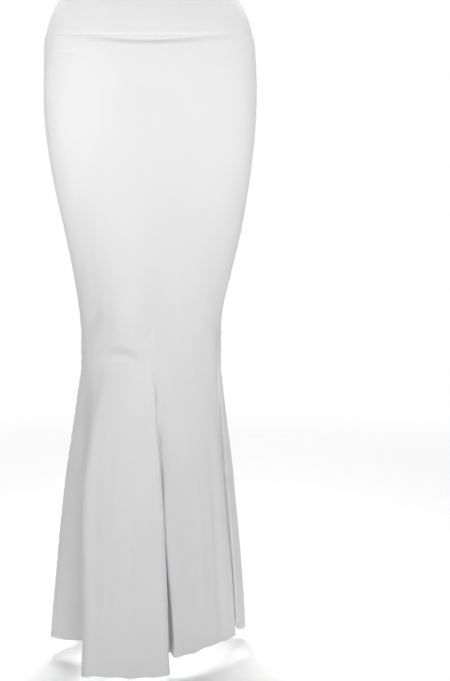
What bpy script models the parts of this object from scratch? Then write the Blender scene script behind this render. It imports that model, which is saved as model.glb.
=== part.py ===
"""Fishtail skirt in stretch jersey, worn: two skirt panels that hug the hips and thighs, narrow at
the knee and flare into flutes down to the hem, under a doubled waistband in two halves.

Metres, +Z up, the front faces -Y. The origin is the middle of the waist opening, halfway up the
waistband. Angles go round the body from the middle of the front, towards +X, in degrees.
"""

import math
from collections import namedtuple

import bmesh
import bpy
from mathutils import Vector

# Driving sizes
CLOTH = 0.0015
BAND_CLOTH = 0.0026
SEAM_GAP = 0.0003
BAND_TOP = 0.033
BAND_SEAM = -0.034
BAND_DIP = 0.005
BAND_DIP_REACH = 70.0
BAND_STEP_IN = 0.0012
KNEE = -0.552
HEM = -1.020
SIDE_SEAM = 90.0

# Mesh density
FRONT_COLUMNS = 64
BACK_COLUMNS = 48
BAND_COLUMNS = 26
BAND_ROWS = 4
BODY_ROWS = 36
# Where columns crowd along a fold: its angle, its reach, and how much closer they lie.
FOLD_CROWDS = [(4.0, 1.8, 2.0), (8.6, 1.3, 7.0), (12.0, 1.5, 1.5), (74.0, 2.5, 1.5), (81.0, 3.0, 1.0), (309.0, 3.0, 1.2)]

# The fitted part, from the top of the waistband to the knee. A row is one level section: its height,
# half its width, how far its middle lies to the side, its depth in front of and behind the side seams,
# how square it is (2 is an ellipse), and how far the leading leg's side is carried forward.
Section = namedtuple("Section", "name height half_width middle front back square stride")
SECTIONS = [
    Section("band top", 0.033, 0.1400, -0.0006, 0.092, 0.092, 2.15, 0.000),
    Section("band middle", 0.000, 0.1568, -0.0002, 0.100, 0.102, 2.15, 0.000),
    Section("band seam", -0.033, 0.1662, -0.0002, 0.106, 0.110, 2.20, 0.000),
    Section("high hip", -0.075, 0.1695, 0.0006, 0.111, 0.119, 2.20, 0.000),
    Section("hip", -0.140, 0.1707, 0.0009, 0.113, 0.127, 2.20, 0.000),
    Section("seat", -0.200, 0.1668, 0.0018, 0.111, 0.126, 2.20, 0.003),
    Section("upper thigh", -0.265, 0.1572, 0.0023, 0.106, 0.115, 2.15, 0.010),
    Section("thigh", -0.340, 0.1432, 0.0038, 0.101, 0.106, 2.10, 0.019),
    Section("low thigh", -0.415, 0.1267, 0.0030, 0.097, 0.101, 2.05, 0.028),
    Section("above knee", -0.480, 0.1152, 0.0004, 0.094, 0.099, 2.00, 0.034),
    Section("knee", -0.552, 0.1138, 0.0001, 0.093, 0.098, 2.00, 0.024),
]
STRIDE_ANGLE = -28.0
STRIDE_SPREAD = 40.0

# The flare, as the hem lies seen from above. A row is one crest, hollow or turn of the cloth: its
# angle at the knee, where it reaches at the hem, and how far below the knee it starts to form.
Turn = namedtuple("Turn", "name angle x y start")
FLARE = [
    Turn("front flute, middle", -20.0, -0.036, -0.214, 0.02),
    Turn("front flute, right of middle", -9.0, -0.009, -0.215, 0.02),
    Turn("front flute, right crest", -1.0, 0.0095, -0.2155, 0.02),
    Turn("front fold, shoulder", 2.4, 0.0195, -0.2150, 0.02),
    Turn("front fold, edge", 4.2, 0.0262, -0.2090, 0.03),
    Turn("front fold, inner edge", 5.2, 0.0266, -0.1980, 0.04),
    Turn("front fold, wall", 6.2, 0.0255, -0.1580, 0.05),
    Turn("front fold, foot", 7.2, 0.0250, -0.1080, 0.05),
    Turn("front fold, hollow", 8.6, 0.0278, -0.0870, 0.05),
    Turn("right panel, tucked edge", 10.0, 0.0318, -0.0975, 0.05),
    Turn("right panel, beside the fold", 11.8, 0.0360, -0.1075, 0.05),
    Turn("right panel, first", 15.0, 0.0430, -0.1070, 0.04),
    Turn("right panel, second", 22.0, 0.0570, -0.0935, 0.02),
    Turn("right panel, inner", 32.0, 0.0760, -0.0740, 0.02),
    Turn("right panel, middle", 44.0, 0.0990, -0.0470, 0.01),
    Turn("right panel, outer", 56.0, 0.1190, -0.0200, 0.01),
    Turn("right panel, rim", 66.0, 0.1335, 0.0020, 0.01),
    Turn("right panel, shoulder", 71.5, 0.1388, 0.0125, 0.01),
    Turn("right panel, turn", 73.5, 0.1391, 0.0180, 0.00),
    Turn("right panel, back of the turn", 75.5, 0.1355, 0.0300, 0.00),
    Turn("right hollow, front wall", 77.5, 0.1340, 0.0450, 0.00),
    Turn("right hollow", 80.0, 0.1372, 0.0580, 0.00),
    Turn("right hollow, back wall", 82.5, 0.1420, 0.0555, 0.00),
    Turn("right flute, inner edge", 85.0, 0.1460, 0.0490, 0.00),
    Turn("right flute, rise", 88.5, 0.1505, 0.0458, 0.00),
    Turn("right flute, face", 93.5, 0.1560, 0.0480, 0.00),
    Turn("right flute, crest", 99.0, 0.1605, 0.0590, 0.00),
    Turn("right flute, back", 111.0, 0.152, 0.086, 0.01),
    Turn("right back hollow", 119.0, 0.127, 0.112, 0.02),
    Turn("right back flute, crest", 131.0, 0.137, 0.160, 0.02),
    Turn("right back flute, back", 140.0, 0.109, 0.190, 0.03),
    Turn("back hollow, right", 149.0, 0.076, 0.184, 0.04),
    Turn("middle back flute, right", 159.0, 0.059, 0.226, 0.04),
    Turn("middle back flute, crest", 168.0, 0.028, 0.245, 0.04),
    Turn("middle back hollow", 179.0, -0.002, 0.214, 0.05),
    Turn("left back flute, right", 190.0, -0.031, 0.237, 0.04),
    Turn("left back flute, crest", 200.0, -0.064, 0.230, 0.03),
    Turn("back hollow, left", 211.0, -0.083, 0.180, 0.03),
    Turn("left flute, back", 221.0, -0.113, 0.178, 0.02),
    Turn("left flute, crest", 232.0, -0.143, 0.150, 0.02),
    Turn("left hollow", 244.0, -0.132, 0.101, 0.01),
    Turn("left wing, back", 256.0, -0.158, 0.060, 0.00),
    Turn("left wing, edge", 268.0, -0.169, 0.016, 0.00),
    Turn("left wing, face", 275.0, -0.152, 0.000, 0.00),
    Turn("left wing, inner face", 281.0, -0.131, -0.008, 0.00),
    Turn("left wing, root", 286.0, -0.113, -0.018, 0.00),
    Turn("front flute, left wall foot", 291.0, -0.107, -0.048, 0.00),
    Turn("front flute, left wall", 299.0, -0.109, -0.122, 0.00),
    Turn("front flute, left edge", 306.5, -0.1105, -0.190, 0.01),
    Turn("front flute, left corner", 309.5, -0.1080, -0.2040, 0.01),
    Turn("front flute, left crest", 314.0, -0.0970, -0.2100, 0.01),
    Turn("front flute, left of middle", 327.0, -0.066, -0.2135, 0.02),
]
# How the flare leaves the knee: over this drop it eases in, and the bow swings it out early.
FLARE_EASE = 0.03
FLARE_BOW = 0.4

# Where a stretch of the flare lies to one side on its way down. A row gives its middle, its half reach
# round the body and down it, and how far it lies towards +X.
Sway = namedtuple("Sway", "name angle reach height drop shift")
SWAYS = [
    Sway("the fold's edge bows out", 3.2, 2.8, -0.740, 0.110, 0.0020),
    Sway("the right panel lies close behind it", 13.0, 5.0, -0.800, 0.110, -0.0020),
]

# Soft dents in the cloth. A row is one dent: its middle, half its reach round the body and down it,
# how far its ends hang below its middle, how far it turns round the body for each metre it drops,
# and how deep it is. A negative depth is a ridge.
Dent = namedtuple("Dent", "name angle height reach drop sag lean depth")
DENTS = [
    Dent("groove under the waistband", -1.0, -0.0500, 36.0, 0.0046, -0.0027, 0.0, 0.0058),
    Dent("roll under the waistband", -1.0, -0.0415, 44.0, 0.0030, -0.0024, 0.0, -0.0012),
    Dent("hollow across the hips", 0.0, -0.1180, 24.0, 0.0150, 0.0000, 0.0, 0.0014),
    Dent("top of the knee", -24.0, -0.4700, 13.0, 0.0420, 0.0000, 0.0, -0.0030),
    Dent("hollow outside the knee", -57.0, -0.4740, 9.0, 0.0200, 0.0000, 0.0, 0.0044),
    Dent("hollow inside the knee", -5.0, -0.5050, 8.0, 0.0130, 0.0000, 0.0, 0.0026),
    Dent("crescent under the knee", -27.0, -0.5330, 19.0, 0.0090, 0.0070, 0.0, 0.0036),
    Dent("hollow under the crescent", -29.0, -0.5520, 21.0, 0.0240, 0.0060, 0.0, 0.0034),
    Dent("ridge into the front fold", 1.0, -0.5830, 3.6, 0.0340, 0.0000, 73.0, -0.0024),
    Dent("valley down the right side", 79.0, -0.6600, 3.6, 0.1100, 0.0000, 0.0, 0.0024),
]

COLOUR = (0.855, 0.855, 0.855, 1.0)


def hermite(before, start, end, after, share):
    """A smooth value between two knots, given as (place, value), with its slopes from their neighbours."""
    step = end[0] - start[0]
    slope_in = (end[1] - before[1]) / (end[0] - before[0])
    slope_out = (after[1] - start[1]) / (after[0] - start[0])
    square, cube = share**2, share**3
    return (
        (2 * cube - 3 * square + 1) * start[1]
        + (cube - 2 * square + share) * step * slope_in
        + (3 * square - 2 * cube) * end[1]
        + (cube - square) * step * slope_out
    )


def fitted(column, height):
    """A column of SECTIONS at any height from the top of the waistband to the knee."""
    rows = SECTIONS
    height = min(max(height, rows[-1].height), rows[0].height)
    last = len(rows) - 1
    i = next(i for i in range(last) if height >= rows[i + 1].height)
    knots = [(rows[k].height, getattr(rows[k], column)) for k in (max(i - 1, 0), i, i + 1, min(i + 2, last))]
    share = (height - knots[1][0]) / (knots[2][0] - knots[1][0])
    return hermite(*knots, share)


def flared(column, angle):
    """A column of FLARE at any angle. The table runs once round the hem."""
    first = FLARE[0].angle
    turn = (angle - first) % 360.0 + first
    count = len(FLARE)
    i = max(k for k in range(count) if FLARE[k].angle <= turn)
    knots = []
    for k in (i - 1, i, i + 1, i + 2):
        row = FLARE[k % count]
        knots.append((row.angle + 360.0 * (k // count), getattr(row, column)))
    share = (turn - knots[1][0]) / (knots[2][0] - knots[1][0])
    return hermite(*knots, share)


def bell(distance):
    """1 at the middle of a dent, falling smoothly to 0."""
    return math.exp(-(distance**2))


def signed_turn(angle, middle):
    """How far round an angle lies from a middle, from -180 to 180 degrees."""
    return (angle - middle + 180.0) % 360.0 - 180.0


def body_ring(angle, height):
    """A point of the fitted part: a superellipse, carried forward on the leading leg's side."""
    side, ahead = math.sin(math.radians(angle)), -math.cos(math.radians(angle))
    depth = fitted("front", height) if ahead < 0 else fitted("back", height)
    square = fitted("square", height)
    across = (abs(side) / fitted("half_width", height)) ** square
    along = (abs(ahead) / depth) ** square
    radius = (across + along) ** (-1 / square)
    carried = fitted("stride", height) * bell(signed_turn(angle, STRIDE_ANGLE) / STRIDE_SPREAD)
    return Vector((fitted("middle", height) + radius * side, radius * ahead - carried, height))


def flare_growth(angle, height):
    """How much of the flare has formed at a height: 0 at the knee and 1 at the hem."""
    start = KNEE - flared("start", angle)
    fallen = (start - height) / (start - HEM)
    ease = FLARE_EASE / (start - HEM)
    if fallen <= 0:
        return 0.0
    eased = fallen**2 / (2 * ease) if fallen < ease else fallen - ease / 2
    even = eased / (1 - ease / 2)
    return (1 + FLARE_BOW) * even - FLARE_BOW * even**2


def smooth_cloth(angle, height):
    """A point of the skirt's outside, with no dents."""
    if height >= KNEE:
        return body_ring(angle, height)
    knee = body_ring(angle, KNEE)
    hem = Vector((flared("x", angle), flared("y", angle), KNEE))
    grown = flare_growth(angle, height)
    point = knee.lerp(hem, grown)
    for sway in SWAYS:
        near = bell(signed_turn(angle, sway.angle) / sway.reach) * bell((height - sway.height) / sway.drop)
        point.x += sway.shift * near * min(8 * grown, 1.0)
    point.z = height
    return point


def along_ring(surface, angle, height):
    """The direction round the body at a place."""
    near = 0.1
    return (surface(angle + near, height) - surface(angle - near, height)).normalized()


def outward(surface, angle, height):
    """The level direction that points out of the cloth at a place."""
    return along_ring(surface, angle, height).cross(Vector((0, 0, 1))).normalized()


def dented(angle, height):
    """How far the dents press the cloth in at a place."""
    pressed = 0.0
    for dent in DENTS:
        leaned = dent.angle + dent.lean * (dent.height - height)
        round_it = signed_turn(angle, leaned) / dent.reach
        middle = dent.height - dent.sag * round_it**2
        pressed += dent.depth * bell(round_it) * bell((height - middle) / dent.drop)
    return pressed


def skirt_cloth(angle, height):
    """A point of the skirt's outside."""
    point = smooth_cloth(angle, height)
    return point - outward(smooth_cloth, angle, height) * dented(angle, height)


def band_seam_height(angle):
    """The seam under the waistband, which dips at the middle of the front."""
    return BAND_SEAM - BAND_DIP * bell(signed_turn(angle, 0.0) / BAND_DIP_REACH)


def band_cloth(angle, height):
    """A point of the waistband's outside, a little inside the skirt's."""
    return body_ring(angle, height) - outward(body_ring, angle, height) * BAND_STEP_IN


def spaced(values, places, count):
    """count + 1 places, spaced evenly by a growing value."""
    chosen = [places[0]]
    i = 0
    for k in range(1, count):
        wanted = values[-1] * k / count
        while values[i + 1] < wanted:
            i += 1
        share = (wanted - values[i]) / (values[i + 1] - values[i])
        chosen.append(places[i] + share * (places[i + 1] - places[i]))
    return chosen + [places[-1]]


def column_angles(first, last, count, surface, heights, crowds=()):
    """Angles from first to last whose columns lie evenly apart, but closer where crowds says."""
    steps = 720
    places = [first + (last - first) * k / steps for k in range(steps + 1)]
    lengths = [0.0]
    for a, b in zip(places, places[1:]):
        step = sum((surface(b, h) - surface(a, h)).length for h in heights)
        weight = 1 + sum(much * bell(signed_turn(b, middle) / reach) for middle, reach, much in crowds)
        lengths.append(lengths[-1] + step * weight)
    return spaced(lengths, places, count)


def wall(name, surface, angles, heights, thickness, material):
    """A closed wall of cloth: a grid laid on a surface, extruded inwards by its thickness.

    heights(angle) gives a column's heights from its top to its bottom.
    """
    columns, rows = len(angles), len(heights(angles[0]))
    mesh = bpy.data.meshes.new(name)
    shape = bmesh.new()
    bmesh.ops.create_grid(shape, x_segments=columns - 1, y_segments=rows - 1, size=1.0)
    inner_places = {}
    for vert in shape.verts:
        column = round((vert.co.x + 1) / 2 * (columns - 1))
        row = round((1 - vert.co.y) / 2 * (rows - 1))
        angle = angles[column]
        height = heights(angle)[row]
        gap = {0: SEAM_GAP / 2, columns - 1: -SEAM_GAP / 2}.get(column, 0.0)
        vert.co = surface(angle, height) + along_ring(surface, angle, height) * gap
        inner_places[vert.co.copy().freeze()] = vert.co - outward(surface, angle, height) * thickness
    extruded = bmesh.ops.extrude_face_region(shape, geom=shape.faces[:])["geom"]
    for vert in extruded:
        if isinstance(vert, bmesh.types.BMVert):
            vert.co = inner_places[vert.co.copy().freeze()]
    bmesh.ops.recalc_face_normals(shape, faces=shape.faces[:])
    bmesh.ops.triangulate(shape, faces=shape.faces[:])
    shape.to_mesh(mesh)
    shape.free()
    mesh.shade_smooth()
    mesh.set_sharp_from_angle(angle=math.radians(50))
    mesh.materials.append(material)
    return bpy.data.objects.new(name, mesh)


def jersey(name):
    """Plain white stretch jersey."""
    material = bpy.data.materials.new(name)
    material.use_nodes = True
    shader = material.node_tree.nodes["Principled BSDF"]
    shader.inputs["Base Color"].default_value = COLOUR
    shader.inputs["Roughness"].default_value = 0.6
    shader.inputs["Metallic"].default_value = 0.0
    return material


def row_heights(top, bottom, crowded):
    """Heights from top to bottom, closer together round some of them, given as (height, reach, how much)."""
    steps = 400
    places = [top + (bottom - top) * k / steps for k in range(steps + 1)]
    weights = [0.0]
    for place in places[1:]:
        extra = sum(much * bell((place - middle) / reach) for middle, reach, much in crowded)
        weights.append(weights[-1] + 1 + extra)
    return spaced(weights, places, BODY_ROWS)


def main():
    for old in list(bpy.data.objects):
        bpy.data.objects.remove(old)
    garment = bpy.data.collections.new("fishtail skirt")
    bpy.context.scene.collection.children.link(garment)

    crowded = [(-0.045, 0.012, 6.0), (-0.545, 0.030, 2.0)]
    levels = row_heights(BAND_SEAM - SEAM_GAP / 2, HEM, crowded)

    def body_heights(angle):
        """The body's rows, whose first follows the dipping seam and whose last is level."""
        dip = band_seam_height(angle) - BAND_SEAM
        reach = 0.10
        return [level + dip * max(0.0, 1 - (levels[0] - level) / reach) ** 2 for level in levels]

    def band_heights(angle):
        """The waistband's rows, from its level top to the dipping seam."""
        top, bottom = BAND_TOP, band_seam_height(angle) + SEAM_GAP / 2
        return [top + (bottom - top) * k / BAND_ROWS for k in range(BAND_ROWS + 1)]

    half_turn = 2 * SIDE_SEAM
    measured = [-0.30, KNEE - 0.15, HEM, HEM]
    halves = [("front", -SIDE_SEAM, FRONT_COLUMNS), ("back", SIDE_SEAM, BACK_COLUMNS)]
    for half, first, count in halves:
        panel_angles = column_angles(first, first + half_turn, count, smooth_cloth, measured, FOLD_CROWDS)
        band_angles = column_angles(first, first + half_turn, BAND_COLUMNS, body_ring, [0.0])
        cloth = jersey(f"jersey {half}")
        panel = wall(f"skirt_{half}", skirt_cloth, panel_angles, body_heights, CLOTH, cloth)
        doubled = jersey(f"doubled jersey {half}")
        band = wall(f"waistband_{half}", band_cloth, band_angles, band_heights, BAND_CLOTH, doubled)
        garment.objects.link(panel)
        garment.objects.link(band)


main()
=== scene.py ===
# %% [markdown]
# # A fishtail skirt in white stretch jersey
#
# The real skirt is four pieces of knitted cloth: a front panel, a back panel and a doubled waistband in
# two halves. It hugs the hips and thighs, is narrowest at the knee, and flares into deep flutes at the
# hem. It is hollow, and shown in the form that it has when worn.
#
# The frame holds each piece as a plain closed wall at its real size. This lesson lays a finer cloth on
# the same form, with creases, seams, a stitched hem and a knitted finish. One could drape the cloth by
# simulation, but stretch shapes this skirt more than weight does, so the form is written down as
# sections and folds, and the cloth is laid on it.

import math
from collections import namedtuple

import bmesh
import bpy
import numpy as np
from mathutils import Matrix, Vector


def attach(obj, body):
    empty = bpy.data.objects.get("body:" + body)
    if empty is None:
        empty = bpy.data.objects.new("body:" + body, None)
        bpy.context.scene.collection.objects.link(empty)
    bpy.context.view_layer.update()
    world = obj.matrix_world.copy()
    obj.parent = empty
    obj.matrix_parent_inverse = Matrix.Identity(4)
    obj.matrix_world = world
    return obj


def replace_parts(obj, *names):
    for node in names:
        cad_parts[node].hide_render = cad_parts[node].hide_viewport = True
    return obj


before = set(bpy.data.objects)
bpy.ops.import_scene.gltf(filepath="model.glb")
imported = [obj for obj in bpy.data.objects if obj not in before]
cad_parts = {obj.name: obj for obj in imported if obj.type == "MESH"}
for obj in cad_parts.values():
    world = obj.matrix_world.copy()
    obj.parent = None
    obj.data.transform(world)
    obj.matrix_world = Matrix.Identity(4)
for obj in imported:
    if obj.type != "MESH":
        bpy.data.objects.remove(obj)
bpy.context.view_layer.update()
print("frame nodes:", ", ".join(sorted(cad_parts)))

# %% [markdown]
# ## Sizes
#
# Heights are measured from the middle of the waistband, which is the frame's origin. Angles go round the
# skirt from the middle of the front towards +X, in degrees. The cloth is drawn a little thinner than the
# solid's wall, because its outside has to stay where the solid's is and its edges should look like jersey.

# %% Driving sizes, in metres
JERSEY = 0.0011
DOUBLED = 0.0024
SEAM_GAP = 0.0001
BAND_TOP = 0.033
BAND_SEAM = -0.034
BAND_DIP = 0.005
BAND_DIP_REACH = 70.0
BAND_STEP_IN = 0.0012
KNEE = -0.552
HEM = -1.020
SIDE_SEAM = 90.0
# The angle where each half of the skirt starts. Each runs on for half a turn.
HALVES = {"front": -SIDE_SEAM, "back": SIDE_SEAM}

# %% [markdown]
# ## The fitted part
#
# From the waist to the knee the skirt is a tube whose level sections are rounded ellipses. A table gives
# a few sections, and a smooth curve through each column gives all the others. Lofting a handful of
# circles would do the same, but a formula can be asked for a point anywhere, so seams, stitches and
# creases can be placed on the cloth by angle and height.

# %% The sections
Section = namedtuple("Section", "name height half_width middle front back square stride")
SECTIONS = [
    Section("band top", 0.033, 0.1400, -0.0006, 0.092, 0.092, 2.15, 0.000),
    Section("band middle", 0.000, 0.1568, -0.0002, 0.100, 0.102, 2.15, 0.000),
    Section("band seam", -0.033, 0.1662, -0.0002, 0.106, 0.110, 2.20, 0.000),
    Section("high hip", -0.075, 0.1695, 0.0006, 0.111, 0.119, 2.20, 0.000),
    Section("hip", -0.140, 0.1707, 0.0009, 0.113, 0.127, 2.20, 0.000),
    Section("seat", -0.200, 0.1668, 0.0018, 0.111, 0.126, 2.20, 0.003),
    Section("upper thigh", -0.265, 0.1572, 0.0023, 0.106, 0.115, 2.15, 0.010),
    Section("thigh", -0.340, 0.1432, 0.0038, 0.101, 0.106, 2.10, 0.019),
    Section("low thigh", -0.415, 0.1267, 0.0030, 0.097, 0.101, 2.05, 0.028),
    Section("above knee", -0.480, 0.1152, 0.0004, 0.094, 0.099, 2.00, 0.034),
    Section("knee", -0.552, 0.1138, 0.0001, 0.093, 0.098, 2.00, 0.024),
]
STRIDE_ANGLE = -28.0
STRIDE_SPREAD = 40.0


def through(places, values, wanted):
    """Smooth values at the wanted places: a cubic whose slope at a knot comes from the knots beside it."""
    places = np.asarray(places, float)
    values = np.asarray(values, float)
    slopes = np.empty_like(values)
    slopes[1:-1] = (values[2:] - values[:-2]) / (places[2:] - places[:-2])
    slopes[0] = (values[1] - values[0]) / (places[1] - places[0])
    slopes[-1] = (values[-1] - values[-2]) / (places[-1] - places[-2])
    wanted = np.clip(wanted, places[0], places[-1])
    i = np.clip(np.searchsorted(places, wanted, side="right") - 1, 0, len(places) - 2)
    step = places[i + 1] - places[i]
    share = (wanted - places[i]) / step
    square = share**2
    cube = share**3
    start = (2 * cube - 3 * square + 1) * values[i] + (cube - 2 * square + share) * step * slopes[i]
    end = (3 * square - 2 * cube) * values[i + 1] + (cube - square) * step * slopes[i + 1]
    return start + end


def fitted(column, height):
    """A column of SECTIONS at any height."""
    rows = SECTIONS[::-1]
    return through([row.height for row in rows], [getattr(row, column) for row in rows], height)


def bell(distance):
    """1 in the middle, falling smoothly to 0."""
    return np.exp(-(distance**2))


def signed_turn(angle, middle):
    """How far round an angle lies from a middle, from -180 to 180 degrees."""
    return (angle - middle + 180.0) % 360.0 - 180.0


def body_ring(angle, height):
    """Points of the fitted part, carried forward on the side of the leading knee."""
    angle, height = np.broadcast_arrays(np.asarray(angle, float), np.asarray(height, float))
    side = np.sin(np.radians(angle))
    ahead = -np.cos(np.radians(angle))
    depth = np.where(ahead < 0, fitted("front", height), fitted("back", height))
    square = fitted("square", height)
    across = (np.abs(side) / fitted("half_width", height)) ** square
    along = (np.abs(ahead) / depth) ** square
    radius = (across + along) ** (-1 / square)
    carried = fitted("stride", height) * bell(signed_turn(angle, STRIDE_ANGLE) / STRIDE_SPREAD)
    return np.stack([fitted("middle", height) + radius * side, radius * ahead - carried, height], axis=-1)


def girth(surface, height):
    """How far it is round a surface at a height."""
    ring = surface(np.arange(0.0, 360.5, 0.5), height)
    return float(np.linalg.norm(np.diff(ring, axis=0), axis=1).sum())


print("girth at the hip: %.3f m, at the knee: %.3f m" % (girth(body_ring, -0.14), girth(body_ring, KNEE)))

# %% [markdown]
# ## The flare
#
# Below the knee the cloth spreads into flutes. Seen from above, the hem is a wavy line, and a table gives
# its crests and hollows with the angle at which each leaves the knee. Between knee and hem the cloth runs
# in nearly straight lines, as hanging jersey does, with a small bow just under the knee. The front flute
# stands well forward, its right side is tucked back into a deep fold, and a panel on either side lies
# behind it. A few sways bend the edges of the folds sideways on their way down. The hem ripples a little,
# and it dips at the right flute, where the cloth hangs on the bias.

# %% The hem's crests and hollows
Turn = namedtuple("Turn", "name angle x y start")
FLARE = [
    Turn("front flute, middle", -20.0, -0.036, -0.214, 0.02),
    Turn("front flute, right of middle", -9.0, -0.009, -0.215, 0.02),
    Turn("front flute, right crest", -1.0, 0.0095, -0.2155, 0.02),
    Turn("front fold, shoulder", 2.4, 0.0195, -0.2150, 0.02),
    Turn("front fold, edge", 4.2, 0.0262, -0.2090, 0.06),
    Turn("front fold, inner edge", 5.2, 0.0266, -0.1980, 0.08),
    Turn("front fold, wall", 6.2, 0.0255, -0.1580, 0.09),
    Turn("front fold, foot", 7.2, 0.0250, -0.1080, 0.09),
    Turn("front fold, hollow", 8.4, 0.0268, -0.0840, 0.09),
    Turn("right panel, tucked edge", 9.6, 0.0308, -0.0985, 0.09),
    Turn("right panel, beside the fold", 10.8, 0.0340, -0.1120, 0.07),
    Turn("right panel, first", 14.0, 0.0410, -0.1090, 0.03),
    Turn("right panel, second", 22.0, 0.0570, -0.0935, 0.02),
    Turn("right panel, inner", 32.0, 0.0760, -0.0740, 0.02),
    Turn("right panel, middle", 44.0, 0.0990, -0.0470, 0.01),
    Turn("right panel, outer", 56.0, 0.1190, -0.0200, 0.01),
    Turn("right panel, rim", 66.0, 0.1335, 0.0020, 0.01),
    Turn("right panel, shoulder", 71.5, 0.1388, 0.0125, 0.01),
    Turn("right panel, turn", 73.5, 0.1391, 0.0180, 0.00),
    Turn("right panel, back of the turn", 75.5, 0.1355, 0.0300, 0.00),
    Turn("right hollow, front wall", 77.5, 0.1340, 0.0520, 0.00),
    Turn("right hollow", 79.5, 0.1370, 0.0760, 0.00),
    Turn("right hollow, back wall", 81.5, 0.1405, 0.0640, 0.00),
    Turn("right flute, inner edge", 83.5, 0.1435, 0.0560, 0.00),
    Turn("right flute, rise", 87.0, 0.1475, 0.0640, 0.00),
    Turn("right flute, face", 93.0, 0.1545, 0.0860, 0.00),
    Turn("right flute, crest", 99.0, 0.1610, 0.1070, 0.00),
    Turn("right flute, back", 109.0, 0.151, 0.122, 0.01),
    Turn("right back hollow", 119.0, 0.127, 0.122, 0.02),
    Turn("right back flute, crest", 131.0, 0.137, 0.161, 0.02),
    Turn("right back flute, back", 140.0, 0.109, 0.190, 0.03),
    Turn("back hollow, right", 149.0, 0.076, 0.184, 0.04),
    Turn("middle back flute, right", 159.0, 0.059, 0.226, 0.04),
    Turn("middle back flute, crest", 168.0, 0.028, 0.245, 0.04),
    Turn("middle back hollow", 179.0, -0.002, 0.214, 0.05),
    Turn("left back flute, right", 190.0, -0.031, 0.237, 0.04),
    Turn("left back flute, crest", 200.0, -0.064, 0.230, 0.03),
    Turn("back hollow, left", 211.0, -0.083, 0.180, 0.03),
    Turn("left flute, back", 221.0, -0.113, 0.178, 0.02),
    Turn("left flute, crest", 232.0, -0.143, 0.150, 0.02),
    Turn("left hollow", 244.0, -0.132, 0.101, 0.01),
    Turn("left wing, back", 256.0, -0.158, 0.060, 0.00),
    Turn("left wing, edge", 268.0, -0.169, 0.016, 0.00),
    Turn("left wing, face", 275.0, -0.152, 0.000, 0.00),
    Turn("left wing, inner face", 281.0, -0.131, -0.008, 0.00),
    Turn("left wing, root", 286.0, -0.113, -0.018, 0.00),
    Turn("front flute, left wall foot", 291.0, -0.107, -0.048, 0.00),
    Turn("front flute, left wall", 299.0, -0.109, -0.122, 0.00),
    Turn("front flute, left edge", 306.5, -0.1105, -0.190, 0.01),
    Turn("front flute, left corner", 309.5, -0.1080, -0.2040, 0.01),
    Turn("front flute, left crest", 314.0, -0.0970, -0.2100, 0.01),
    Turn("front flute, left of middle", 327.0, -0.066, -0.2135, 0.02),
]
# The flare eases in over a short drop below its start, and the bow swings it out early.
FLARE_EASE = 0.03
FLARE_BOW = 0.4
HEM_RIPPLE = 0.0012
HEM_RIPPLE_REACH = 0.060
HEM_DIP = 0.0130
HEM_DIP_ANGLE = 99.0
HEM_DIP_SPREAD = 13.0
HEM_DIP_REACH = 0.110

# A ripple is one sine wave along the cloth. Its rate is in radians for each unit of the place.
Ripple = namedtuple("Ripple", "rate phase share")
HEM_RIPPLES = [Ripple(9.0, 1.3, 1.0), Ripple(23.0, 0.0, 0.7)]

# A sway shifts the cloth along X, and has its full strength once an eighth of the flare has formed.
SWAY_ONSET = 8
Sway = namedtuple("Sway", "name angle reach height drop shift")
SWAYS = [
    Sway("the fold's edge bows out", 3.2, 2.8, -0.740, 0.110, 0.0030),
    Sway("the right panel lies close behind it", 11.0, 3.4, -0.810, 0.100, -0.0052),
    Sway("the panel meets the fold's top", 10.5, 2.6, -0.672, 0.030, -0.0044),
    Sway("the flute's left edge bows out", 309.0, 11.0, -0.750, 0.120, -0.0125),
    Sway("the right panel's edge lies back", 77.0, 7.0, -0.730, 0.160, -0.0090),
]


def flared(column, angle):
    """A column of FLARE at any angle. The table runs once round the hem and meets itself."""
    first = FLARE[0].angle
    turn = (np.asarray(angle, float) - first) % 360.0 + first
    rows = [(row.angle, getattr(row, column)) for row in FLARE]
    before = [(place - 360.0, value) for place, value in rows[-2:]]
    after = [(place + 360.0, value) for place, value in rows[:2]]
    places, values = zip(*(before + rows + after))
    return through(places, values, turn)


def flare_growth(angle, height):
    """How much of the flare has formed at a height: 0 at the knee and 1 at the hem."""
    start = KNEE - flared("start", angle)
    fallen = (start - height) / (start - HEM)
    ease = FLARE_EASE / (start - HEM)
    eased = np.where(fallen < ease, fallen**2 / (2 * ease), fallen - ease / 2)
    even = eased / (1 - ease / 2)
    grown = (1 + FLARE_BOW) * even - FLARE_BOW * even**2
    return np.where(fallen <= 0, 0.0, grown)


def rippled(ripples, place):
    """A few sine waves added up, at places along the cloth."""
    return sum(ripple.share * np.sin(ripple.rate * place + ripple.phase) for ripple in ripples)


def smooth_cloth(angle, height):
    """Points of the skirt's outside, with no creases."""
    angle, height = np.broadcast_arrays(np.asarray(angle, float), np.asarray(height, float))
    upper = body_ring(angle, np.maximum(height, KNEE))
    hem = np.stack([flared("x", angle), flared("y", angle), height], axis=-1)
    grown = np.where(height >= KNEE, 0.0, flare_growth(angle, height))
    point = upper + (hem - upper) * grown[..., None]
    for sway in SWAYS:
        near = bell(signed_turn(angle, sway.angle) / sway.reach) * bell((height - sway.height) / sway.drop)
        point[..., 0] += sway.shift * near * np.clip(SWAY_ONSET * grown, 0, 1)
    ripple = HEM_RIPPLE * rippled(HEM_RIPPLES, np.radians(angle))
    point[..., 2] = height + ripple * bell((height - HEM) / HEM_RIPPLE_REACH)
    dips = HEM_DIP * bell(signed_turn(angle, HEM_DIP_ANGLE) / HEM_DIP_SPREAD)
    point[..., 2] -= dips * bell((height - HEM) / HEM_DIP_REACH)
    return point


print("girth at the hem: %.3f m" % girth(smooth_cloth, HEM))

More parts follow.
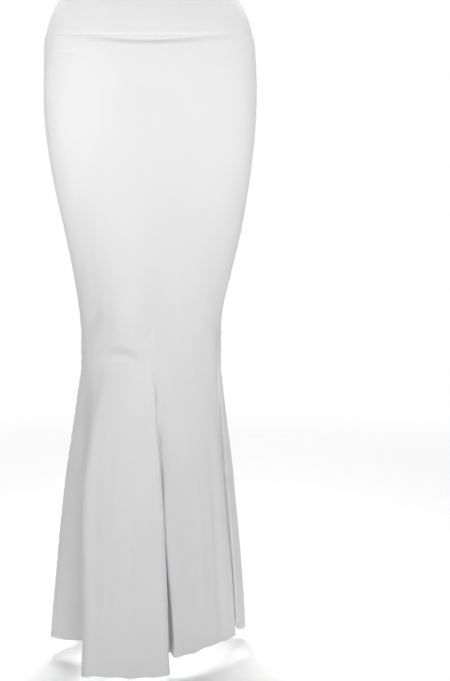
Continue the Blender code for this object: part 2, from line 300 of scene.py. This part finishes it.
# %% [markdown]
# ## Creases
#
# Where the cloth bends, it makes soft troughs and ridges: a groove at the waistband seam, a crescent under
# the leading knee, small hollows on either side of it, and faint lines down the flutes. Each is one row
# of a table. Sculpting could make them too, but rows can be read, moved and repeated. The
# hidden sides get like ones: folds behind the knees, under the seat and in the small of the back.

# %% The creases, as soft dents and ridges
# A row gives the dent's middle, half its reach round the skirt and down it, how far its ends hang below its
# middle, how far it turns for each metre it drops, and its depth. A negative depth is a ridge.
Dent = namedtuple("Dent", "name angle height reach drop sag lean depth")
DENTS = [
    Dent("groove at the waistband seam", -1.0, -0.0425, 36.0, 0.0046, -0.0027, 0.0, 0.0060),
    Dent("lip under the groove", -1.0, -0.0510, 40.0, 0.0040, -0.0027, 0.0, -0.0005),
    Dent("hollow across the hips", 0.0, -0.1180, 24.0, 0.0150, 0.0000, 0.0, 0.0014),
    Dent("top of the knee", -24.0, -0.4700, 13.0, 0.0420, 0.0000, 0.0, -0.0030),
    Dent("hollow outside the knee", -57.0, -0.4740, 9.0, 0.0200, 0.0000, 0.0, 0.0044),
    Dent("hollow inside the knee", -5.0, -0.5050, 8.0, 0.0130, 0.0000, 0.0, 0.0026),
    Dent("crescent under the knee", -30.0, -0.5330, 15.0, 0.0085, 0.0060, 0.0, 0.0082),
    Dent("hollow under the crescent", -31.0, -0.5520, 19.0, 0.0220, 0.0060, 0.0, 0.0034),
    Dent("ridge into the front fold", 1.0, -0.5830, 3.2, 0.0340, 0.0000, 73.0, -0.0030),
    Dent("valley down the right side", 77.4, -0.6600, 2.8, 0.1100, 0.0000, 0.0, 0.0064),
]
FINE_DENTS = [
    Dent("pinch outside the knee", -58.0, -0.4700, 6.5, 0.0120, 0.0000, 0.0, 0.0016),
    Dent("pinch inside the knee", -6.0, -0.5070, 5.5, 0.0090, 0.0000, 0.0, 0.0015),
    Dent("lip over the crescent", -28.0, -0.5170, 14.0, 0.0060, 0.0070, 0.0, -0.0022),
    Dent("top of the front fold", 7.2, -0.6740, 0.8, 0.0180, 0.0000, 0.0, 0.0065),
    Dent("top of the valley", 76.0, -0.6000, 2.2, 0.0360, 0.0000, 0.0, 0.0042),
    Dent("drag line at the left hip", -58.0, -0.0640, 16.0, 0.0050, 0.0060, 0.0, 0.0006),
    Dent("drag line at the right hip", 52.0, -0.0600, 18.0, 0.0060, 0.0070, 0.0, 0.0006),
    Dent("drag line on the right thigh", 47.0, -0.3350, 12.0, 0.0100, -0.0120, 0.0, 0.0008),
    Dent("drag line on the left thigh", -62.0, -0.3900, 12.0, 0.0090, 0.0120, 0.0, 0.0008),
    Dent("fold at the right knee", 74.0, -0.4950, 13.0, 0.0080, -0.0070, 0.0, 0.0012),
    Dent("fold at the left knee", -84.0, -0.5080, 12.0, 0.0080, 0.0070, 0.0, 0.0012),
    Dent("flute line, left", -43.0, -0.8200, 2.4, 0.1700, 0.0000, 6.0, 0.0024),
    Dent("flute line, middle", -31.0, -0.8700, 2.4, 0.1500, 0.0000, 2.0, -0.0014),
    Dent("flute line, right", -19.0, -0.8300, 2.8, 0.1300, 0.0000, -4.0, 0.0014),
    Dent("right panel line, inner", 38.0, -0.8700, 3.0, 0.1400, 0.0000, 0.0, -0.0016),
    Dent("right panel line, outer", 54.0, -0.8900, 4.2, 0.1500, 0.0000, 0.0, 0.0034),
    Dent("small of the back, upper", 172.0, -0.0560, 26.0, 0.0050, 0.0050, 0.0, 0.0018),
    Dent("small of the back, lower", 190.0, -0.0730, 20.0, 0.0070, 0.0040, 0.0, 0.0012),
    Dent("under the seat, right", 158.0, -0.2640, 15.0, 0.0120, -0.0090, 0.0, 0.0018),
    Dent("under the seat, left", 203.0, -0.2560, 14.0, 0.0110, -0.0100, 0.0, 0.0018),
    Dent("behind the right knee, upper", 152.0, -0.4880, 17.0, 0.0080, -0.0080, 0.0, 0.0030),
    Dent("behind the right knee, lower", 147.0, -0.5220, 15.0, 0.0080, 0.0060, 0.0, 0.0024),
    Dent("behind the left knee, upper", 207.0, -0.5000, 18.0, 0.0090, -0.0070, 0.0, 0.0034),
    Dent("behind the left knee, lower", 214.0, -0.5340, 14.0, 0.0080, 0.0070, 0.0, 0.0022),
    Dent("between the knees, back", 180.0, -0.5130, 9.0, 0.0120, 0.0000, 0.0, 0.0018),
]


def dented(angle, height):
    """How far the creases press the cloth in."""
    pressed = np.zeros(np.broadcast(angle, height).shape)
    for dent in DENTS + FINE_DENTS:
        leaned = dent.angle + dent.lean * (dent.height - height)
        round_it = signed_turn(angle, leaned) / dent.reach
        middle = dent.height - dent.sag * round_it**2
        pressed += dent.depth * bell(round_it) * bell((height - middle) / dent.drop)
    return pressed


print("creases placed by hand:", len(DENTS) + len(FINE_DENTS))

# %% [markdown]
# ## The cloth's surface
#
# Real jersey is never perfectly even. A few long, low waves keep the light from sliding over it as it
# would over plastic. The seams pull the cloth in a little, and it puckers beside them. At the hem the
# cloth is turned up inside, so a narrow band stands out by the thickness of the turning, with a fine
# groove where the stitching holds it.

# %% Evenness, seams and hem
TURNING = 0.011
TURNING_EDGE = 0.0012
HEM_STAND = 0.00035
# The two stitch lines lie this far below the turning's edge, and the first one makes the groove.
STITCH_LINES = (0.0018, 0.0050)
STITCH_GROOVE = 0.00030
STITCH_GROOVE_REACH = 0.0009

# The side seams lie about this far from the middle of the skirt.
SIDE_RADIUS = 0.14
SEAM_REACH = 0.0022
SIDE_PULL = 0.0007
SIDE_PUCKER = 0.00035
SIDE_PUCKER_REACH = 0.0110
SIDE_PUCKERS = [Ripple(410.0, 0.0, 1.0), Ripple(263.0, 1.0, 0.6)]
BAND_PULL = 0.00035
BAND_PUCKER = 0.00021
BAND_PUCKER_REACH = 0.0066
BAND_PUCKERS = [Ripple(47.0, 0.0, 1.0), Ripple(71.0, 2.0, 0.7)]

UNEVEN = 0.00035
BAND_UNEVEN_SHARE = 0.6

Wave = namedtuple("Wave", "turns rises phase share")
WAVES = [
    Wave(5.0, 21.0, 0.4, 1.0),
    Wave(8.0, -14.0, 2.1, 0.8),
    Wave(13.0, 33.0, 4.4, 0.6),
    Wave(17.0, -47.0, 1.2, 0.5),
    Wave(29.0, 11.0, 5.3, 0.3),
]


def outward(surface, angle, height):
    """The level direction that points out of the cloth."""
    near = 0.1
    along = surface(angle + near, height) - surface(angle - near, height)
    out = np.stack([along[..., 1], -along[..., 0], np.zeros_like(along[..., 0])], axis=-1)
    return out / np.linalg.norm(out, axis=-1, keepdims=True)


def band_seam_height(angle):
    """The seam under the waistband, which dips a little at the front."""
    return BAND_SEAM - BAND_DIP * bell(signed_turn(angle, 0.0) / BAND_DIP_REACH)


def unevenness(angle, height):
    """Long, low waves over the cloth."""
    total = 0.0
    for wave in WAVES:
        total = total + wave.share * np.sin(np.radians(wave.turns * angle) + wave.rises * height + wave.phase)
    return UNEVEN * total


def side_seam_pull(angle, height):
    """How far the side seams pull the cloth in, with small puckers along them."""
    away = np.minimum(np.abs(signed_turn(angle, SIDE_SEAM)), np.abs(signed_turn(angle, -SIDE_SEAM)))
    distance = np.radians(away) * SIDE_RADIUS
    puckers = SIDE_PUCKER * rippled(SIDE_PUCKERS, height)
    return SIDE_PULL * bell(distance / SEAM_REACH) + puckers * bell(distance / SIDE_PUCKER_REACH)


def band_seam_pull(angle, height):
    """How far the waistband seam pulls the cloth in, above and below it."""
    distance = height - band_seam_height(angle)
    puckers = BAND_PUCKER * rippled(BAND_PUCKERS, np.radians(angle))
    return BAND_PULL * bell(distance / SEAM_REACH) + puckers * bell(distance / BAND_PUCKER_REACH)


def hem_relief(height):
    """How far the turned hem stands out, less the groove of its stitching."""
    above = height - HEM
    stands = HEM_STAND * (0.5 - 0.5 * np.tanh((above - TURNING) / TURNING_EDGE))
    return stands - STITCH_GROOVE * bell((above - TURNING + STITCH_LINES[0]) / STITCH_GROOVE_REACH)


def skirt_cloth(angle, height):
    """Points of the skirt panels' finished outside."""
    press = dented(angle, height) + side_seam_pull(angle, height) + band_seam_pull(angle, height)
    stand = unevenness(angle, height) + hem_relief(height) - press
    return smooth_cloth(angle, height) + outward(smooth_cloth, angle, height) * stand[..., None]


def band_cloth(angle, height):
    """Points of the waistband's finished outside, a little inside the skirt's."""
    press = dented(angle, height) + side_seam_pull(angle, height) + band_seam_pull(angle, height)
    stand = BAND_UNEVEN_SHARE * unevenness(angle, height) - press - BAND_STEP_IN
    return body_ring(angle, height) + outward(body_ring, angle, height) * stand[..., None]


# %% [markdown]
# ## The jersey
#
# Stretch jersey is a weft knit of fine yarn: rows of small V-shaped stitches, standing in columns called
# wales. White jersey is soft and matt, with a low sheen where the fibre ends catch the light at a glancing
# angle. An image could supply the knit, but a few Math nodes draw it at any scale from the cloth's own
# map, whose units are metres of cloth. Real wales are about 0.8 mm apart, and they are drawn at 1 mm so
# that they can be seen.

# %% Colours and nodes
JERSEY_HEX = "EDEDEE"
WRONG_SIDE_HEX = "E4E4E5"
THREAD_HEX = "F3F3F3"
WALE_MM = 1.0
COURSE_MM = 0.85
KNIT_SLANT = 1.1
KNIT_BASE = 0.6
# Noise scales are in features for each metre of cloth, and relief is in metres.
PATCH_SCALE = 9.0
PATCH_SHADE = 0.965
SLUB_SCALE = 140.0
SLUB_RELIEF = 0.0004
KNIT_RELIEF = 0.0003
TWIST_SCALE = 900.0
TWIST_SHADE = 0.9


def linear(hex_colour):
    """An sRGB hex colour as linear red, green, blue and alpha."""
    parts = [int(hex_colour[i : i + 2], 16) / 255 for i in (0, 2, 4)]
    return tuple(c / 12.92 if c <= 0.04045 else ((c + 0.055) / 1.055) ** 2.4 for c in parts) + (1.0,)


def shaded(hex_colour, share):
    """A hex colour as linear values, darkened to a share of its light."""
    return tuple(share * c for c in linear(hex_colour)[:3]) + (1.0,)


def add_node(tree, kind, links=None, **settings):
    """Adds a node. Settings are its properties or inputs, and links joins other sockets to its inputs."""
    node = tree.nodes.new(kind)
    for name, value in settings.items():
        if hasattr(node, name):
            setattr(node, name, value)
        else:
            node.inputs[name.replace("_", " ")].default_value = value
    for name, socket in (links or {}).items():
        tree.links.new(socket, node.inputs[name])
    return node


def knit_height(tree, flat_map):
    """The height of the knitted surface: V-shaped stitches in wales, from 0 between the wales."""
    apart = add_node(tree, "ShaderNodeSeparateXYZ", {0: flat_map})

    def maths(operation, a, b=None):
        node = add_node(tree, "ShaderNodeMath", operation=operation)
        for i, value in enumerate((a, b)):
            if isinstance(value, (int, float)):
                node.inputs[i].default_value = value
            elif value is not None:
                tree.links.new(value, node.inputs[i])
        return node.outputs[0]

    across = maths("MULTIPLY", apart.outputs["X"], 1000 / WALE_MM)
    down = maths("MULTIPLY", apart.outputs["Y"], 1000 / COURSE_MM)
    from_middle = maths("PINGPONG", across, 0.5)
    slanted = maths("ADD", down, maths("MULTIPLY", from_middle, KNIT_SLANT))
    stitches = maths("ABSOLUTE", maths("SINE", maths("MULTIPLY", slanted, math.pi)))
    wales = maths("ABSOLUTE", maths("SINE", maths("MULTIPLY", across, math.pi)))
    return maths("MULTIPLY", maths("ADD", stitches, KNIT_BASE), wales)


def knitted(name, hex_colour, bump, sheen):
    """A white stretch jersey, weft-knitted, matt with a low sheen."""
    material = bpy.data.materials.new(name)
    material.use_nodes = True
    tree = material.node_tree
    shader = tree.nodes["Principled BSDF"]
    flat_map = add_node(tree, "ShaderNodeUVMap", uv_map="cloth").outputs["UV"]
    patches = add_node(tree, "ShaderNodeTexNoise", {"Vector": flat_map}, Scale=PATCH_SCALE, Detail=3.0)
    shade = add_node(tree, "ShaderNodeMix", {"Factor": patches.outputs["Fac"]}, data_type="RGBA")
    shade.inputs["A"].default_value = shaded(hex_colour, PATCH_SHADE)
    shade.inputs["B"].default_value = linear(hex_colour)
    knit = add_node(tree, "ShaderNodeBump", {"Height": knit_height(tree, flat_map)}, Strength=bump)
    knit.inputs["Distance"].default_value = KNIT_RELIEF
    slubs = add_node(tree, "ShaderNodeTexNoise", {"Vector": flat_map}, Scale=SLUB_SCALE, Detail=2.0)
    over_knit = {"Height": slubs.outputs["Fac"], "Normal": knit.outputs["Normal"]}
    worn = add_node(tree, "ShaderNodeBump", over_knit)
    worn.inputs["Strength"].default_value = 0.25
    worn.inputs["Distance"].default_value = SLUB_RELIEF
    tree.links.new(shade.outputs["Result"], shader.inputs["Base Color"])
    tree.links.new(worn.outputs["Normal"], shader.inputs["Normal"])
    shader.inputs["Roughness"].default_value = 0.78
    shader.inputs["Specular IOR Level"].default_value = 0.25
    shader.inputs["Sheen Weight"].default_value = sheen
    shader.inputs["Sheen Roughness"].default_value = 0.45
    return material


def thread(name, hex_colour):
    """Polyester sewing thread, smoother and a little brighter than the jersey."""
    material = bpy.data.materials.new(name)
    material.use_nodes = True
    tree = material.node_tree
    shader = tree.nodes["Principled BSDF"]
    place = add_node(tree, "ShaderNodeTexCoord").outputs["Object"]
    twist = add_node(tree, "ShaderNodeTexNoise", {"Vector": place}, Scale=TWIST_SCALE, Detail=1.0)
    shade = add_node(tree, "ShaderNodeMix", {"Factor": twist.outputs["Fac"]}, data_type="RGBA")
    shade.inputs["A"].default_value = shaded(hex_colour, TWIST_SHADE)
    shade.inputs["B"].default_value = linear(hex_colour)
    tree.links.new(shade.outputs["Result"], shader.inputs["Base Color"])
    shader.inputs["Roughness"].default_value = 0.5
    return material


jersey = knitted("white stretch jersey, knitted", JERSEY_HEX, 0.30, 0.12)
doubled_jersey = knitted("white stretch jersey, doubled", JERSEY_HEX, 0.25, 0.12)
wrong_side = knitted("white stretch jersey, wrong side", WRONG_SIDE_HEX, 0.45, 0.05)
white_thread = thread("white polyester thread, twisted", THREAD_HEX)
print("materials:", ", ".join(m.name for m in bpy.data.materials if m.users or m.name.startswith("white")))

# %% [markdown]
# ## Spacing rows and columns
#
# A grid on the surface needs its points where the cloth bends. Columns are spaced evenly along the cloth,
# but closer together at the folds. Rows crowd at the waistband seam, under the knee and at the hem. An even
# grid would need more points to show the same folds.

# %% Spacing
# How many places a half turn, or the way down, is measured at before it is divided up.
ANGLE_SAMPLES = 1441
HEIGHT_SAMPLES = 4001


def spaced(values, places, count):
    """count + 1 places, spaced evenly by a growing value."""
    wanted = np.linspace(0.0, values[-1], count + 1)
    return np.interp(wanted, values, places)


def column_angles(first, count, surface, heights, crowds=()):
    """Angles over half a turn whose columns lie evenly apart, but closer where crowds says."""
    places = np.linspace(first, first + 2 * SIDE_SEAM, ANGLE_SAMPLES)
    lengths = np.zeros(len(places))
    weights = 1.0
    for middle, reach, much in crowds:
        weights = weights + much * bell(signed_turn(places[1:], middle) / reach)
    for height in heights:
        ring = surface(places, height)
        lengths[1:] += np.cumsum(weights * np.linalg.norm(np.diff(ring, axis=0), axis=1))
    return spaced(lengths, places, count)


def crowded_rows(top, bottom, count, crowds):
    """Heights from top to bottom, closer together where crowds says: (height, reach, how much)."""
    places = np.linspace(top, bottom, HEIGHT_SAMPLES)
    weights = np.ones(len(places))
    for middle, reach, much in crowds:
        weights += much * bell((places - middle) / reach)
    return spaced(np.concatenate([[0.0], np.cumsum(weights[1:])]), places, count)


# %% [markdown]
# ## Laying the cloth
#
# A piece starts as a flat grid with a column for each angle and a row for each height. Every point moves
# to its place on the surface, the grid is extruded inwards to give the cloth its thickness, and the cut
# edges are rounded with a bevel. A Solidify modifier would give the thickness too, but here the side edges
# have to keep their small gap. The map holds each point's place in the flat cloth, in metres, so the knit
# keeps its scale.

# %% Laying


def lay_cloth(name, surface, angles, heights, thickness, material, rounding):
    """A closed shell of cloth laid on a surface. Each row of heights holds one height for every angle."""
    rows, columns = heights.shape
    turns = np.broadcast_to(angles, heights.shape)
    outer = surface(turns, heights)
    near = 0.2
    along = surface(turns + near, heights) - surface(turns - near, heights)
    along /= np.linalg.norm(along, axis=-1, keepdims=True)
    outer[:, 0] += along[:, 0] * SEAM_GAP / 2
    outer[:, -1] -= along[:, -1] * SEAM_GAP / 2
    inner = outer - outward(surface, turns, heights) * thickness
    steps = np.linalg.norm(np.diff(outer, axis=1), axis=2)
    flat_x = np.concatenate([np.zeros((rows, 1)), np.cumsum(steps, axis=1)], axis=1)
    flat_x -= flat_x[:, -1:] / 2

    shape = bmesh.new()
    bmesh.ops.create_grid(shape, x_segments=columns - 1, y_segments=rows - 1, size=1.0)
    place = shape.verts.layers.int.new("place")
    for vert in shape.verts:
        column = round((vert.co.x + 1) / 2 * (columns - 1))
        row = round((1 - vert.co.y) / 2 * (rows - 1))
        vert[place] = row * columns + column
        vert.co = outer[row, column]
    extruded = bmesh.ops.extrude_face_region(shape, geom=shape.faces[:])["geom"]
    for vert in extruded:
        if isinstance(vert, bmesh.types.BMVert):
            vert.co = inner[divmod(vert[place], columns)]
    cloth_map = shape.loops.layers.uv.new("cloth")
    for face in shape.faces:
        for loop in face.loops:
            row, column = divmod(loop.vert[place], columns)
            loop[cloth_map].uv = (flat_x[row, column], heights[row, column])
    bmesh.ops.recalc_face_normals(shape, faces=shape.faces[:])
    rim = [edge for edge in shape.edges if is_rim(edge, place, rows, columns)]
    bmesh.ops.bevel(
        shape,
        geom=rim,
        offset=rounding,
        segments=2,
        profile=0.5,
        affect="EDGES",
        material=-1,
        clamp_overlap=True,
    )
    return finished(name, shape, material)


def is_rim(edge, place, rows, columns):
    """Whether an edge runs along a cut edge of the cloth, on its outside or its inside."""
    a, b = (divmod(vert[place], columns) for vert in edge.verts)
    if a == b:
        return False
    along_side = a[1] == b[1] and a[1] in (0, columns - 1)
    along_end = a[0] == b[0] and a[0] in (0, rows - 1)
    return along_side or along_end


def finished(name, shape, material):
    """Makes the object of a mesh, smooth, in the scene, with its material."""
    mesh = bpy.data.meshes.new(name)
    shape.to_mesh(mesh)
    shape.free()
    mesh.shade_smooth()
    mesh.materials.append(material)
    piece = bpy.data.objects.new(name, mesh)
    bpy.context.scene.collection.objects.link(piece)
    triangles = sum(len(face.vertices) - 2 for face in mesh.polygons)
    print(f"made {name}: {triangles} triangles")
    return piece


# %% [markdown]
# ## The skirt panels
#
# The front and back panels run from the waistband seam to the hem and meet at the sides. Their first row
# follows the dip of the seam, and their last is level, as a hem is cut, before the ripple and the dip move
# it. They replace the frame's panels, which stay behind them for contact.

# %% The front and back panels
BODY_ROWS = 245
BODY_COLUMNS = {"front": 190, "back": 176}
PANEL_ROUNDING = 0.0004
DIP_FADES_OVER = 0.10
# A crowd is a place, a reach and how much closer the rows or columns lie there.
BODY_CROWDS = [(-0.045, 0.012, 5.0), (-0.520, 0.040, 1.0), (HEM + 0.008, 0.008, 5.0)]
FOLD_CROWDS = [(3.8, 1.6, 3.0), (9.0, 2.2, 1.5), (74.0, 2.5, 2.0), (81.0, 3.0, 1.0), (309.0, 3.0, 1.6)]
# The columns are spaced by the cloth's length round these heights together. The hem counts twice.
MEASURED_AT = [-0.30, KNEE - 0.15, HEM, HEM]

levels = crowded_rows(BAND_SEAM - SEAM_GAP / 2, HEM, BODY_ROWS, BODY_CROWDS)


def body_heights(angles):
    """The panel's rows, whose first follows the dipping seam and whose last is level."""
    dip = band_seam_height(angles) - BAND_SEAM
    fading = np.clip(1 - (levels[0] - levels) / DIP_FADES_OVER, 0, 1) ** 2
    return levels[:, None] + dip[None, :] * fading[:, None]


for half, first in HALVES.items():
    angles = column_angles(first, BODY_COLUMNS[half], smooth_cloth, MEASURED_AT, FOLD_CROWDS)
    heights = body_heights(angles)
    panel = lay_cloth(f"panel_{half}", skirt_cloth, angles, heights, JERSEY, jersey, PANEL_ROUNDING)
    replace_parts(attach(panel, "root"), f"skirt_{half}")

# %% [markdown]
# ## The waistband
#
# The waistband is a strip of the same jersey folded lengthwise, so it is twice as thick and its top edge
# is a soft fold with no stitching. A bevel of nearly half its thickness gives that fold.

# %% The two halves of the waistband
BAND_ROWS = 40
BAND_COLUMNS = 130
BAND_ROUNDING = 0.0010
BAND_CROWDS = [(BAND_SEAM, 0.006, 4.0)]

band_levels = crowded_rows(BAND_TOP, BAND_SEAM, BAND_ROWS, BAND_CROWDS)
shares = (band_levels - BAND_TOP) / (BAND_SEAM - BAND_TOP)
for half, first in HALVES.items():
    angles = column_angles(first, BAND_COLUMNS, body_ring, [0.0])
    foot = band_seam_height(angles) + SEAM_GAP / 2
    heights = BAND_TOP + shares[:, None] * (foot - BAND_TOP)[None, :]
    band = lay_cloth(f"band_{half}", band_cloth, angles, heights, DOUBLED, doubled_jersey, BAND_ROUNDING)
    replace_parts(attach(band, "root"), f"waistband_{half}")

# %% [markdown]
# ## Seam allowances
#
# Inside, the cloth past each side seam is trimmed to a strip and pressed to the back. The strips show when
# one looks in at the waist or the hem, and they close the seams against the light.

# %% Side seam allowances
ALLOWANCE = 0.008
ALLOWANCE_CLOTH = 0.0009
ALLOWANCE_CLEAR = 0.0002
ALLOWANCE_UNDER_BAND = 0.001
ALLOWANCE_FORWARD_SHARE = 0.25
ALLOWANCE_ROUNDING = 0.0002
ALLOWANCE_ROWS = 200
ALLOWANCE_COLUMNS = 6


def inner_surface(surface, depth):
    """A surface that lies inside another one, by a depth."""

    def lying(angle, height):
        return surface(angle, height) - outward(surface, angle, height) * depth

    return lying


def seam_strip(name, surface, seam_angle, top, bottom, depth):
    """A strip of cloth up the inside of a side seam, most of it behind the seam."""
    width = math.degrees(ALLOWANCE / SIDE_RADIUS)
    backwards = 1 if math.sin(math.radians(seam_angle)) > 0 else -1
    forward_end = seam_angle - ALLOWANCE_FORWARD_SHARE * width * backwards
    back_end = seam_angle + width * backwards
    angles = np.linspace(*sorted((forward_end, back_end)), ALLOWANCE_COLUMNS + 1)
    column = np.linspace(top, bottom, ALLOWANCE_ROWS + 1)
    heights = np.repeat(column[:, None], len(angles), axis=1)
    lying = inner_surface(surface, depth)
    return lay_cloth(name, lying, angles, heights, ALLOWANCE_CLOTH, wrong_side, ALLOWANCE_ROUNDING)


for side, seam_angle in (("right", SIDE_SEAM), ("left", -SIDE_SEAM)):
    top = float(band_seam_height(seam_angle)) - ALLOWANCE_UNDER_BAND
    depth = JERSEY + ALLOWANCE_CLEAR
    strip = seam_strip(f"seam_{side}", skirt_cloth, seam_angle, top, HEM + TURNING, depth)
    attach(strip, "root")

# %% [markdown]
# ## Hem stitching
#
# The hem is turned up once and held by a twin-needle machine, which leaves two rows of short stitches on
# the outside. Each stitch is a small stretched sphere laid on the cloth along the hem. They could be a
# bump, but real ones give the hem its crisp line at any distance.

# %% The stitches
STITCH = 0.0026
STITCH_PITCH = 0.0033
STITCH_THICK = 0.00050
# A stitch's middle stands out of the cloth by this share of its thickness.
STITCH_LIFT = 0.1
STITCH_SAMPLES = 3601
STITCHES_AT_ONCE = 50


def ring_places(surface, height, first, pitch):
    """Angles over half a turn, a pitch apart along the cloth."""
    places = np.linspace(first, first + 2 * SIDE_SEAM, STITCH_SAMPLES)
    steps = np.linalg.norm(np.diff(surface(places, height), axis=0), axis=1)
    lengths = np.concatenate([[0.0], np.cumsum(steps)])
    count = int(lengths[-1] / pitch)
    return np.interp((np.arange(count) + 0.5) * lengths[-1] / count, lengths, places)


def stitch_places(surface, height, first):
    """Where each stitch of a row lies, and how it is turned and stretched."""
    angles = ring_places(surface, height, first, STITCH_PITCH)
    heights = np.full(len(angles), height)
    points = surface(angles, heights)
    outs = outward(surface, angles, heights)
    size = Matrix.Diagonal((STITCH / 2, STITCH_THICK / 2, STITCH_THICK / 2, 1.0))
    up = Vector((0, 0, 1))
    places = []
    for point, out in zip(points, outs):
        out = Vector(out)
        turned = Matrix((out.cross(up), out, up)).transposed().to_4x4()
        moved = Matrix.Translation(Vector(point) + out * STITCH_THICK * STITCH_LIFT)
        places.append(moved @ turned @ size)
    return places


def sewn(name, places, material):
    """One mesh of stitches. They are made a few at a time, because a large mesh grows slowly."""
    whole = bmesh.new()
    for start in range(0, len(places), STITCHES_AT_ONCE):
        part = bmesh.new()
        for placed in places[start : start + STITCHES_AT_ONCE]:
            bmesh.ops.create_uvsphere(part, u_segments=6, v_segments=4, radius=1.0, matrix=placed)
        mesh = bpy.data.meshes.new("a few stitches")
        part.to_mesh(mesh)
        part.free()
        whole.from_mesh(mesh)
        bpy.data.meshes.remove(mesh)
    return finished(name, whole, material)


for half, first in HALVES.items():
    places = []
    for below in STITCH_LINES:
        places += stitch_places(skirt_cloth, HEM + (TURNING - below), first)
    hem = sewn(f"hem_stitches_{half}", places, white_thread)
    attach(hem, "root")

# %% [markdown]
# The jersey stretches a little over the hips, so the cut is slightly smaller than what it covers.

# %% [markdown]
# ## The floor
#
# The skirt hangs as if worn, its hem a little above a pale floor. The floor is a disc whose rim fades out
# into the white room, so no horizon line shows behind the cloth.

# %% The stage
FLOOR_DROP = 0.035
FLOOR_RADIUS = 3.0
FLOOR_HEX = "F6F6F6"
# The floor fades out between these shares of its radius.
FADE_FROM = 0.35
FADE_TO = 0.95


def floor_material():
    """Matt white studio floor whose rim fades into the room."""
    material = bpy.data.materials.new("studio floor, matt white")
    material.use_nodes = True
    tree = material.node_tree
    shader = tree.nodes["Principled BSDF"]
    shader.inputs["Base Color"].default_value = linear(FLOOR_HEX)
    shader.inputs["Roughness"].default_value = 0.9
    place = add_node(tree, "ShaderNodeTexCoord").outputs["Object"]
    away = add_node(tree, "ShaderNodeVectorMath", {0: place}, operation="LENGTH")
    fade = add_node(tree, "ShaderNodeMapRange", {"Value": away.outputs["Value"]})
    fade.interpolation_type = "SMOOTHSTEP"
    fade.inputs["From Min"].default_value = FADE_FROM * FLOOR_RADIUS
    fade.inputs["From Max"].default_value = FADE_TO * FLOOR_RADIUS
    fade.inputs["To Min"].default_value = 1.0
    fade.inputs["To Max"].default_value = 0.0
    tree.links.new(fade.outputs["Result"], shader.inputs["Alpha"])
    return material


floor_shape = bmesh.new()
bmesh.ops.create_circle(floor_shape, cap_ends=True, segments=96, radius=FLOOR_RADIUS)
floor = finished("floor", floor_shape, floor_material())
floor.location = (0.0, 0.0, HEM - FLOOR_DROP)

# %% [markdown]
# ## The lights
#
# A large far softbox lights the skirt evenly from the front. Two near ones, level with the waist, make the
# hips brighter than the flare, because light falls off with distance, and two small ones at the sides lift
# the edges. One high behind the skirt lights the floor, and a lamp hidden inside the hem keeps the floor
# under it pale, as light does that bounces round a white room. The room itself is seen as white, but gives
# only a little light, or it would wash out the creases.

# %% The room and the lights
ROOM_LIGHT = 0.10

scene = bpy.context.scene
scene.view_settings.view_transform = "Standard"
world = bpy.data.worlds.new("white room")
world.use_nodes = True
scene.world = world
sky = world.node_tree
seen = add_node(sky, "ShaderNodeLightPath")
strength = add_node(sky, "ShaderNodeMapRange", {"Value": seen.outputs["Is Camera Ray"]})
strength.inputs["To Min"].default_value = ROOM_LIGHT
strength.inputs["To Max"].default_value = 1.0
sky.nodes["Background"].inputs["Color"].default_value = (1.0, 1.0, 1.0, 1.0)
sky.links.new(strength.outputs["Result"], sky.nodes["Background"].inputs["Strength"])


def softbox(name, place, aim, size, power):
    """A square soft light that looks at a point."""
    light = bpy.data.lights.new(name, "AREA")
    light.shape = "SQUARE"
    light.size = size
    light.energy = power
    lamp = bpy.data.objects.new(name, light)
    lamp.location = place
    lamp.rotation_euler = (Vector(aim) - Vector(place)).to_track_quat("-Z", "Y").to_euler()
    scene.collection.objects.link(lamp)


softbox("far softbox", (0.7, -3.3, 0.1), (0.0, 0.0, -0.4), 1.2, 27.0)
softbox("near softbox, right", (0.66, -0.90, 0.07), (0.0, 0.0, -0.09), 0.5, 2.7)
softbox("near softbox, left", (-0.54, -0.90, 0.09), (0.0, 0.0, -0.09), 0.5, 2.8)
softbox("side softbox, right", (0.60, -0.30, -0.10), (0.1, 0.0, -0.18), 0.4, 0.9)
softbox("side softbox, left", (-0.58, -0.30, -0.12), (-0.1, 0.0, -0.18), 0.4, 1.3)
softbox("floor softbox", (0.0, 1.1, 2.6), (0.0, 1.0, HEM), 1.4, 135.0)
softbox("lamp inside the hem", (0.0, 0.0, -0.80), (0.0, -0.02, HEM), 0.14, 0.44)

# %% [markdown]
# ## The camera
#
# The camera stands 2.8 m in front of the skirt, level with the hips, and looks slightly down. Its lens
# follows from how many pixels a metre of the skirt takes up in the photograph, so the skirt keeps its size
# in the picture if the camera is moved.

# %% The camera
CAMERA_PLACE = Vector((-0.0035, -2.8, -0.212))
CAMERA_AIM = Vector((0.1207, 0.0, -0.5226))
PIXELS_PER_METRE = 612.0
PHOTO_HEIGHT_PX = 681
SENSOR_MM = 36.0

camera_data = bpy.data.cameras.new("camera")
camera_data.sensor_width = SENSOR_MM
reach = (CAMERA_AIM - CAMERA_PLACE).length
camera_data.lens = SENSOR_MM * PIXELS_PER_METRE * reach / PHOTO_HEIGHT_PX
camera = bpy.data.objects.new("camera", camera_data)
camera.location = CAMERA_PLACE
camera.rotation_euler = (CAMERA_AIM - CAMERA_PLACE).to_track_quat("-Z", "Y").to_euler()
scene.collection.objects.link(camera)
scene.camera = camera
print("lens: %.1f mm" % camera_data.lens)
